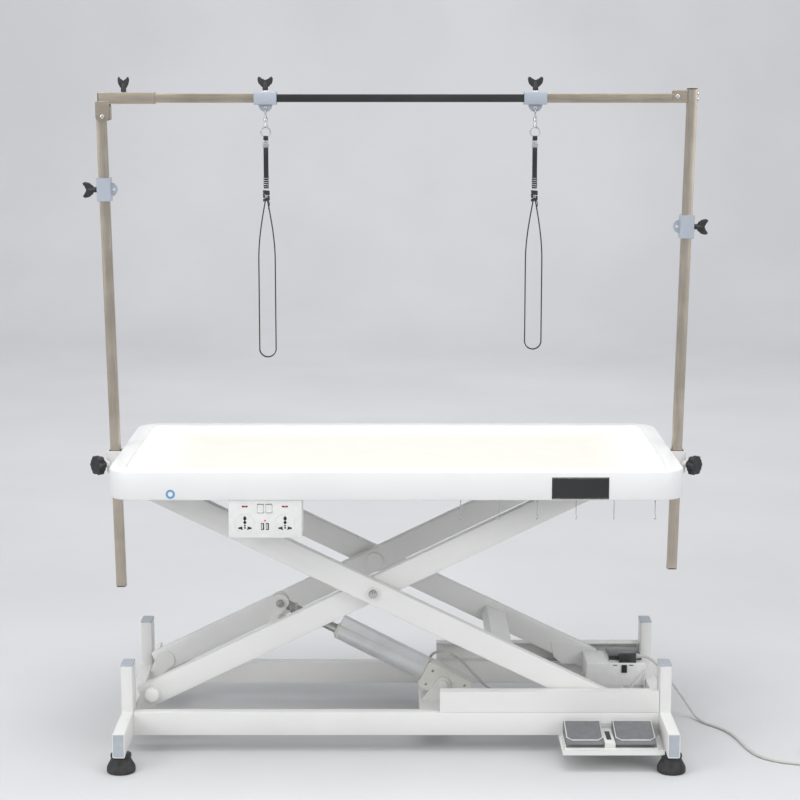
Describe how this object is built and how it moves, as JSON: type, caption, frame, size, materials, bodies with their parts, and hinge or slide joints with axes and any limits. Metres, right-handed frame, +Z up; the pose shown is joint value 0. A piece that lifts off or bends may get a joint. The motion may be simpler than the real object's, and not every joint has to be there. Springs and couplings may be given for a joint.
{
  "type": "pet grooming table",
  "caption": "Electric scissor-lift grooming table with a lit rectangular top, foot pedals, and an arch of square tube that carries clamps and hanging tether loops.",
  "frame": {"origin": "on the floor, under the middle of the top", "axes": "+X to the right of a person in front, who looks along +Y; +Z up"},
  "size_m": [1.7198, 0.716, 1.5032],
  "materials": {
    "white_paint": "satin powder coat",
    "tray_white": "satin moulded top with a soft rim",
    "light_panel": "translucent, lit from below",
    "brown_steel": "brushed, slightly brown",
    "black_tube": "satin black",
    "bright_steel": "polished",
    "black_plastic": "moulded",
    "foot_rubber": "matt",
    "grey_plastic": "moulded, fine texture",
    "cream_plastic": "moulded",
    "clamp_paint": "pale blue-grey anodised",
    "white_plastic": "moulded",
    "webbing": "woven nylon tape",
    "cable": "smooth jacket"
  },
  "bodies": {
    "base": {"left_end_frame": "white_paint", "right_end_frame": "white_paint", "front_rail": "white_paint", "rear_rail": "white_paint", "actuator_beam": "white_paint", "front_left_foot": "foot_rubber", "front_right_foot": "foot_rubber", "rear_left_foot": "foot_rubber", "rear_right_foot": "foot_rubber", "pedal_body": "white_plastic", "control_box": "white_plastic", "mains_cord": "cable", "cord_coil": "cable", "mains_plug": "black_plastic", "motor_cable": "cable"},
    "left_pedal": {"left_pedal": "grey_plastic"},
    "right_pedal": {"right_pedal": "grey_plastic"},
    "inner_frame": {"front_inner_arm": "white_paint", "rear_inner_arm": "white_paint", "inner_cross_tube": "white_paint"},
    "outer_frame": {"front_outer_arm": "white_paint", "rear_outer_arm": "white_paint", "outer_cross_tube": "white_paint"},
    "upper_rollers": {"upper_roller_axle": "grey_plastic"},
    "front_lower_roller": {"front_lower_roller": "grey_plastic"},
    "rear_lower_roller": {"rear_lower_roller": "grey_plastic"},
    "actuator": {"actuator_housing": "cream_plastic", "actuator_tube": "clamp_paint"},
    "actuator_rod": {"actuator_rod": "bright_steel"},
    "top": {"table_tray": "tray_white", "light_panel": "light_panel", "front_top_channel": "white_paint", "rear_top_channel": "white_paint", "socket_box": "white_plastic", "left_post_socket": "white_paint", "right_post_socket": "white_paint"},
    "left_rocker": {"left_rocker": "black_plastic"},
    "right_rocker": {"right_rocker": "black_plastic"},
    "left_star_knob": {"left_star_knob": "black_plastic"},
    "right_star_knob": {"right_star_knob": "black_plastic"},
    "arch": {"left_post": "brown_steel", "right_post": "brown_steel", "crossbar_left": "brown_steel", "crossbar_centre": "black_tube", "crossbar_right": "brown_steel", "corner_sleeve": "brown_steel", "right_corner_bracket": "brown_steel", "left_bar_clamp": "clamp_paint", "right_bar_clamp": "clamp_paint"},
    "thumb_screw": {"thumb_screw": "black_plastic"},
    "left_bar_screw": {"left_bar_screw": "black_plastic"},
    "right_bar_screw": {"right_bar_screw": "black_plastic"},
    "left_post_clamp": {"left_post_clamp": "clamp_paint"},
    "right_post_clamp": {"right_post_clamp": "clamp_paint"},
    "left_post_screw": {"left_post_screw": "black_plastic"},
    "right_post_screw": {"right_post_screw": "black_plastic"},
    "left_noose": {"left_noose_hook": "bright_steel", "left_noose_strap": "webbing"},
    "right_noose": {"right_noose_hook": "bright_steel", "right_noose_strap": "webbing"}
  },
  "joints": [
    {"name": "lift", "type": "hinge", "parent": "base", "child": "inner_frame", "pos_m": [-0.5546, 0, 0.1185], "axis": [0, -1, 0], "range_deg": [-11.9, 14]},
    {"name": "scissor", "type": "hinge", "parent": "inner_frame", "child": "outer_frame", "pos_m": [-0.05183, 0, 0.36285], "axis": [0, -1, 0], "range_deg": [-28.2, 24]},
    {"name": "top_level", "type": "hinge", "parent": "outer_frame", "child": "top", "pos_m": [-0.5546, 0, 0.6072], "axis": [0, -1, 0], "range_deg": [-12, 14.1]},
    {"name": "actuator_swing", "type": "hinge", "parent": "base", "child": "actuator", "pos_m": [0.1087, 0, 0.1028], "axis": [0, 1, 0], "range_deg": [-4.6, 5.4]},
    {"name": "actuator_extend", "type": "slide", "parent": "actuator", "child": "actuator_rod", "axis": [-0.8897, 0, 0.4565], "range_m": [-0.0592, 0.0696]},
    {"name": "upper_roller_spin", "type": "hinge", "parent": "inner_frame", "child": "upper_rollers", "pos_m": [0.45093, 0, 0.6072], "axis": [0, 1, 0], "continuous": true},
    {"name": "front_lower_roller_spin", "type": "hinge", "parent": "outer_frame", "child": "front_lower_roller", "pos_m": [0.45093, -0.192, 0.1185], "axis": [0, 1, 0], "continuous": true},
    {"name": "rear_lower_roller_spin", "type": "hinge", "parent": "outer_frame", "child": "rear_lower_roller", "pos_m": [0.45093, 0.192, 0.1185], "axis": [0, 1, 0], "continuous": true},
    {"name": "left_pedal_press", "type": "hinge", "parent": "base", "child": "left_pedal", "pos_m": [0.4155, -0.2165, 0.064], "axis": [1, 0, 0], "range_deg": [0, 3], "stiffness_Nm_per_rad": 3, "springref_deg": -4.58},
    {"name": "right_pedal_press", "type": "hinge", "parent": "base", "child": "right_pedal", "pos_m": [0.52725, -0.2165, 0.064], "axis": [1, 0, 0], "range_deg": [0, 3], "stiffness_Nm_per_rad": 3, "springref_deg": -4.58},
    {"name": "left_rocker_tilt", "type": "hinge", "parent": "top", "child": "left_rocker", "pos_m": [-0.2933, -0.2917, 0.5828], "axis": [-1, 0, 0], "range_deg": [0, 9]},
    {"name": "right_rocker_tilt", "type": "hinge", "parent": "top", "child": "right_rocker", "pos_m": [-0.2751, -0.2917, 0.5828], "axis": [-1, 0, 0], "range_deg": [0, 9]},
    {"name": "left_star_knob_turn", "type": "hinge", "parent": "top", "child": "left_star_knob", "pos_m": [-0.68166, -0.03346, 0.6254], "axis": [-0.7431, -0.6691, 0], "continuous": true},
    {"name": "right_star_knob_turn", "type": "hinge", "parent": "top", "child": "right_star_knob", "pos_m": [0.68166, -0.03346, 0.6254], "axis": [0.7431, -0.6691, 0], "continuous": true},
    {"name": "arch_height", "type": "slide", "parent": "top", "child": "arch", "axis": [0, 0, 1], "range_m": [-0.05, 0.15]},
    {"name": "thumb_screw_turn", "type": "hinge", "parent": "arch", "child": "thumb_screw", "pos_m": [-0.609, 0, 1.455], "axis": [0, 0, 1], "continuous": true},
    {"name": "left_bar_screw_turn", "type": "hinge", "parent": "arch", "child": "left_bar_screw", "pos_m": [-0.2925, 0, 1.455], "axis": [0, 0, 1], "continuous": true},
    {"name": "right_bar_screw_turn", "type": "hinge", "parent": "arch", "child": "right_bar_screw", "pos_m": [0.311, 0, 1.455], "axis": [0, 0, 1], "continuous": true},
    {"name": "left_post_clamp_slide", "type": "slide", "parent": "arch", "child": "left_post_clamp", "axis": [-0.0199, 0, 0.9998], "range_m": [-0.4, 0.11]},
    {"name": "left_post_screw_turn", "type": "hinge", "parent": "left_post_clamp", "child": "left_post_screw", "pos_m": [-0.65685, 0, 1.2516], "axis": [-0.9998, 0, -0.0199], "continuous": true},
    {"name": "right_post_clamp_slide", "type": "slide", "parent": "arch", "child": "right_post_clamp", "axis": [0.0199, 0, 0.9998], "range_m": [-0.38, 0.22]},
    {"name": "right_post_screw_turn", "type": "hinge", "parent": "right_post_clamp", "child": "right_post_screw", "pos_m": [0.65519, 0, 1.1684], "axis": [0.9998, 0, -0.0199], "continuous": true},
    {"name": "left_noose_swing", "type": "hinge", "parent": "arch", "child": "left_noose", "pos_m": [-0.2925, 0, 1.43325], "axis": [0, 1, 0], "range_deg": [-30, 30]},
    {"name": "right_noose_swing", "type": "hinge", "parent": "arch", "child": "right_noose", "pos_m": [0.311, 0, 1.43325], "axis": [0, 1, 0], "range_deg": [-30, 30]}
  ],
  "couplings": [
    {"joint": "scissor", "follows": "lift", "ratio": -2},
    {"joint": "top_level", "follows": "lift", "ratio": 1},
    {"joint": "actuator_swing", "follows": "lift", "ratio": 0.3737},
    {"joint": "actuator_extend", "follows": "lift", "m_per_rad": 0.2833}
  ]
}
